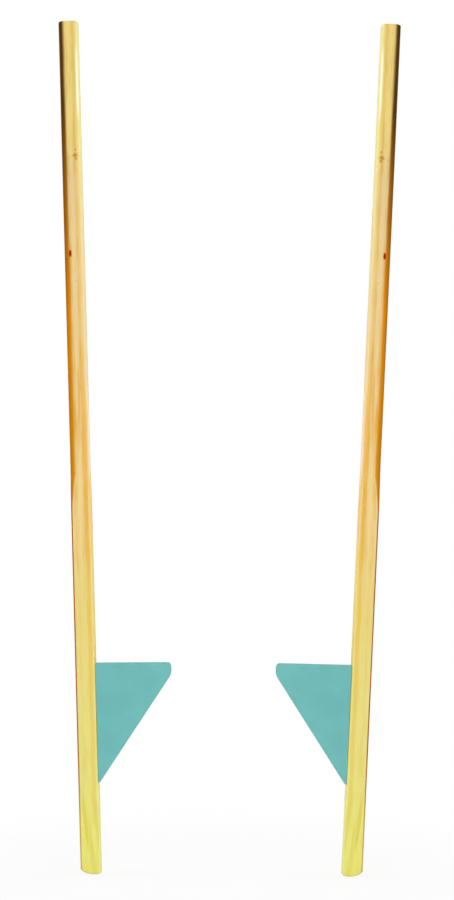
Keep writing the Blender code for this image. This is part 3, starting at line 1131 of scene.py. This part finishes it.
def teal_material():
    """Satin paint over wood: nearly even, with the grain just telling through and rubbed edges."""
    colours = bpy.context.scene.stilt_colours
    material, tree, shader = start_material("teal_paint", Specular_IOR_Level=0.12)
    place = read_place(tree)
    grain = use_group(grain_group(), place, Pith=(-0.04, 0.09, 0.0))
    handling = use_group(handling_group(), place)
    worn = use_group(wear_group(), place, Edge=read_number(tree, "edge"), Amount=0.5)["Mask"]
    deep = (*[level * DEEP_PAINT for level in colours.teal], 1.0)
    paint = blend(fade(handling["Smears"], *SMEAR_TINT), (*colours.teal, 1.0), deep)
    peel = streaks(place, PEEL_WAVES, detail=1.0)
    relief = sums("MULTIPLY_ADD", grain["Fibres"], PAINTED_FIBRE_RELIEF, peel)
    relief = sums("MULTIPLY_ADD", grain["Rings"], RING_RELIEF, relief)
    feed(shader, {
        "Base Color": blend(worn, paint, (*colours.teal_worn, 1.0)),
        "Roughness": fade(handling["Smears"], *SMEAR_GLOSS, *PAINT_ROUGHNESS),
        "Normal": bumped(relief, strength=0.10, distance=0.0004),
    })
    return material


def metal_material(name, tint, roughness):
    """Turned metal with faint smears and scratches."""
    material, tree, shader = start_material(name, Metallic=1.0)
    place = put(tree, "TexCoord").outputs["Object"]
    handling = use_group(handling_group(), place, Smear_Size=0.003)
    smears = handling["Smears"]
    dull = (*[level * DULL_METAL for level in tint], 1.0)
    gloss = [roughness + change for change in METAL_ROUGHNESS_CHANGE]
    feed(shader, {
        "Base Color": blend(fade(smears, *SMEAR_TINT), (*tint, 1.0), dull),
        "Roughness": fade(smears, *SMEAR_GLOSS, *gloss),
        "Normal": bumped(handling["Scratches"], strength=0.08, distance=0.0002),
    })
    return material


def is_seen(tree):
    """1 for rays from the camera, a mirror or glass, and 0 for light that falls on the object."""
    path = put(tree, "LightPath").outputs
    seen = sums("MAXIMUM", path["Is Camera Ray"], path["Is Glossy Ray"])
    return sums("MAXIMUM", seen, path["Is Transmission Ray"])


class STILTS_OT_poles(bpy.types.Operator):
    """Make both pine poles with their rounded grips, feet and sunk bolt holes"""

    bl_idname = "stilts.poles"
    bl_label = "Poles"

    def execute(self, context):
        material = pine_material()
        for side in SIDES:
            holes = [pole_hole(bolt_height(place)) for place in PLACES]
            mesh = drilled(fan_ends(loft(pole_rings())), holes)
            mark_pole(mesh, side)
            add_piece(f"{side}_pole_wood", mesh, side, material, "varnished_pine", f"{side}_pole")
        return {"FINISHED"}


class STILTS_OT_foot_rests(bpy.types.Operator):
    """Make both painted foot rests"""

    bl_idname = "stilts.foot_rests"
    bl_label = "Foot rests"

    def execute(self, context):
        material = teal_material()
        for side in SIDES:
            holes = [rest_hole(bolt_height(place)) for place in PLACES]
            mesh = drilled(rest_solid(), holes)
            mark_rest(mesh, side)
            add_piece(f"{side}_foot_rest_wood", mesh, side, material, "teal_paint", f"{side}_foot_rest")
        return {"FINISHED"}


class STILTS_OT_bolts(bpy.types.Operator):
    """Make the four socket head bolts and their washers"""

    bl_idname = "stilts.bolts"
    bl_label = "Bolts and washers"

    def execute(self, context):
        material = metal_material("zinc_steel", context.scene.stilt_colours.steel, roughness=0.30)
        solids = {"bolt": bolt_solid, "washer": washer_solid}
        for side in SIDES:
            for place in PLACES:
                for kind, solid in solids.items():
                    node = f"{side}_{place}_{kind}"
                    mesh = plain_mesh(solid(bolt_height(place)))
                    add_piece(f"{node}_steel", mesh, side, material, "zinc_steel", node)
        return {"FINISHED"}


class STILTS_OT_inserts(bpy.types.Operator):
    """Give the threaded inserts their brass finish"""

    bl_idname = "stilts.inserts"
    bl_label = "Inserts"

    def execute(self, context):
        material = metal_material("brass", context.scene.stilt_colours.brass, roughness=0.34)
        for side in SIDES:
            for place in PLACES:
                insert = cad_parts[f"{side}_{place}_insert"]
                insert.material_slots[0].material = material
        return {"FINISHED"}


def add_light(light, power):
    lamp = bpy.data.lights.new(light.name, "AREA")
    lamp.shape = "RECTANGLE"
    lamp.size = light.width
    lamp.size_y = light.height
    lamp.energy = power
    made = add_object(light.name, lamp)
    made.location = light.place
    view = Vector(light.target) - Vector(light.place)
    made.rotation_euler = view.to_track_quat("-Z", "Y").to_euler()


def add_camera(stage):
    """The camera at the photograph's viewing angle."""
    data = bpy.data.cameras.new("camera")
    data.sensor_fit = "AUTO"
    data.lens = stage.focal_length * data.sensor_width
    camera = add_object("camera", data)
    tilt = Matrix.Rotation(math.pi / 2 + stage.camera_pitch, 4, "X")
    roll = Matrix.Rotation(stage.camera_roll, 4, "Z")
    camera.matrix_world = Matrix.Translation(stage.camera_place) @ tilt @ roll
    bpy.context.scene.camera = camera


def floor_material(stage):
    """Pale floor that is white to the camera, apart from the shadows near the feet."""
    material = bpy.data.materials.new("pale_floor")
    material.use_nodes = True
    tree = material.node_tree
    tree.nodes.clear()
    place = put(tree, "TexCoord").outputs["Object"]
    white = fade(distance_to(place), stage.floor_near, stage.floor_far, stage.floor_white, 1.0)
    amount = product(is_seen(tree), white)
    pale = put(tree, "BsdfDiffuse", {"Color": (*[stage.floor_pale] * 3, 1.0)})
    bright = put(tree, "Emission", {"Strength": 1.0})
    mixed = put(tree, "MixShader", {0: amount, 1: pale.outputs[0], 2: bright.outputs[0]})
    put(tree, "OutputMaterial", {"Surface": mixed.outputs[0]})
    return material


def add_floor(stage):
    bm = bmesh.new()
    bmesh.ops.create_grid(bm, x_segments=1, y_segments=1, size=stage.floor_width / 2)
    mesh = plain_mesh(bm)
    mesh.materials.append(floor_material(stage))
    floor = add_object("floor", mesh)


def add_world(stage):
    """Even light all round, white where the camera sees it."""
    world = bpy.data.worlds.new("studio")
    world.use_nodes = True
    tree = world.node_tree
    tree.nodes.clear()
    even = put(tree, "Background", {"Strength": stage.ambient})
    white = put(tree, "Background", {"Strength": 1.0})
    for background in (even, white):
        background.inputs["Color"].default_value = (1.0, 1.0, 1.0, 1.0)
    mixed = put(tree, "MixShader", {0: is_seen(tree), 1: even.outputs[0], 2: white.outputs[0]})
    put(tree, "OutputWorld", {"Surface": mixed.outputs[0]})
    bpy.context.scene.world = world


class STILTS_OT_stage(bpy.types.Operator):
    """Set up the floor, the soft lights and the camera"""

    bl_idname = "stilts.stage"
    bl_label = "Stage"

    def execute(self, context):
        stage = context.scene.stilt_stage
        add_camera(stage)
        add_floor(stage)
        add_world(stage)
        for light in SOFT_LIGHTS:
            add_light(light, getattr(stage, f"{light.name}_power"))
        context.scene.view_settings.view_transform = "Standard"
        return {"FINISHED"}


class STILTS_PT_panel(bpy.types.Panel):
    """Buttons that make the stilts, piece by piece"""

    bl_idname = "STILTS_PT_panel"
    bl_label = "Stilts"
    bl_space_type = "VIEW_3D"
    bl_region_type = "UI"
    bl_category = "Stilts"

    def draw(self, context):
        for operator in OPERATORS:
            self.layout.operator(operator.bl_idname)


OPERATORS = (STILTS_OT_poles, STILTS_OT_foot_rests, STILTS_OT_bolts, STILTS_OT_inserts, STILTS_OT_stage)
CLASSES = (StiltSizes, StiltColours, StiltStage, *OPERATORS, STILTS_PT_panel)


def register():
    for item in CLASSES:
        bpy.utils.register_class(item)
    bpy.types.Scene.stilt_sizes = PointerProperty(type=StiltSizes)
    bpy.types.Scene.stilt_colours = PointerProperty(type=StiltColours)
    bpy.types.Scene.stilt_stage = PointerProperty(type=StiltStage)


def unregister():
    del bpy.types.Scene.stilt_stage
    del bpy.types.Scene.stilt_colours
    del bpy.types.Scene.stilt_sizes
    for item in reversed(CLASSES):
        bpy.utils.unregister_class(item)


def main():
    register()
    bpy.ops.stilts.stage()
    bpy.ops.stilts.poles()
    bpy.ops.stilts.foot_rests()
    bpy.ops.stilts.bolts()
    bpy.ops.stilts.inserts()


if __name__ == "__main__":
    main()
